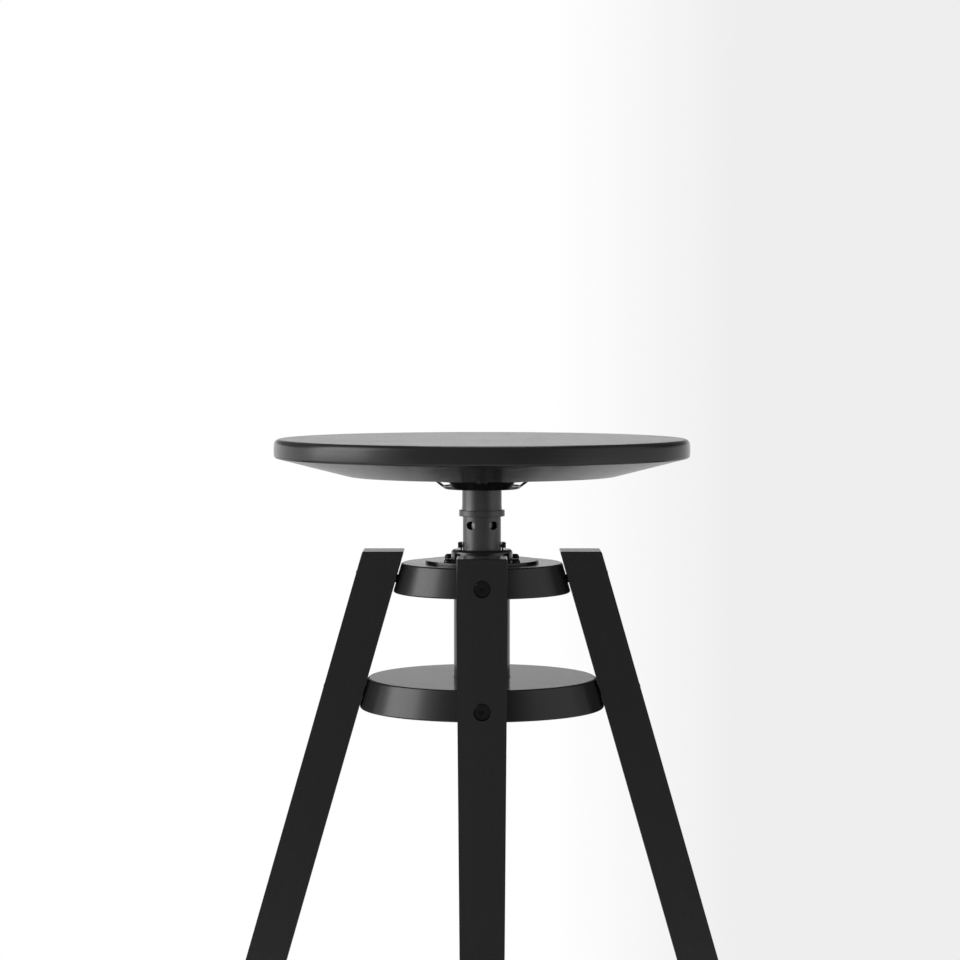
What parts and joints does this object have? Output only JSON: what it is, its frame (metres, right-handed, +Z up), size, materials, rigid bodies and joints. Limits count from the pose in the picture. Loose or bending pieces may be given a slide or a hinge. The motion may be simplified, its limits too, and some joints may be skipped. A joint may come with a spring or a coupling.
{
  "type": "adjustable stool",
  "caption": "Round-seated stool on a screw spindle that raises and lowers the seat, with splayed wooden legs joined by round discs and a footrest hoop.",
  "frame": {"origin": "on the floor, at the screw axis, below the centre of the seat", "axes": "+Z up along the screw axis, -Y towards the front leg, +X towards the right leg"},
  "size_m": [0.497, 0.497, 0.6493],
  "materials": {
    "seat_wood": "black stain under satin lacquer",
    "leg_wood": "black stain under satin lacquer",
    "disc_wood": "black stain under glossy lacquer",
    "coated_steel": "black powder coating, semi-gloss",
    "spindle_steel": "dark powder coating, satin",
    "black_plastic": "moulded black plastic",
    "nut_plastic": "moulded natural nylon",
    "blackened_steel": "black oxide",
    "plated_steel": "zinc plated",
    "oiled_steel": "rolled thread, lightly oiled"
  },
  "bodies": {
    "base": {"leg_front": "leg_wood", "leg_right": "leg_wood", "leg_back": "leg_wood", "leg_left": "leg_wood", "foot_glide_front": "black_plastic", "foot_glide_right": "black_plastic", "foot_glide_back": "black_plastic", "foot_glide_left": "black_plastic", "upper_disc": "disc_wood", "lower_disc": "disc_wood", "disc_inserts_upper": "plated_steel", "disc_inserts_lower": "plated_steel", "leg_bolts_upper": "blackened_steel", "leg_bolts_lower": "blackened_steel", "footrest_hoop": "coated_steel", "footrest_bolts": "blackened_steel", "housing_tube": "coated_steel", "mounting_plate": "coated_steel", "housing_cap": "black_plastic", "spindle_nut": "nut_plastic", "flange_screws": "blackened_steel"},
    "turning_bush": {"guide_bush": "black_plastic"},
    "seat_and_spindle": {"seat": "seat_wood", "seat_plate": "coated_steel", "seat_hub": "coated_steel", "seat_screws": "blackened_steel", "spindle_tube": "spindle_steel", "stop_collar": "spindle_steel", "spindle_screw": "oiled_steel", "end_stop_washer": "plated_steel", "end_stop_screw": "plated_steel"}
  },
  "joints": [
    {"name": "seat_turn", "type": "hinge", "parent": "base", "child": "turning_bush", "pos_m": [0, 0, 0.52], "axis": [0, 0, 1], "range_deg": [-1350, 6550]},
    {"name": "seat_rise", "type": "slide", "parent": "turning_bush", "child": "seat_and_spindle", "axis": [0, 0, 1], "range_m": [-0.01876, 0.09098]}
  ],
  "couplings": [
    {"joint": "seat_rise", "follows": "seat_turn", "m_per_rad": 0.00079577}
  ]
}
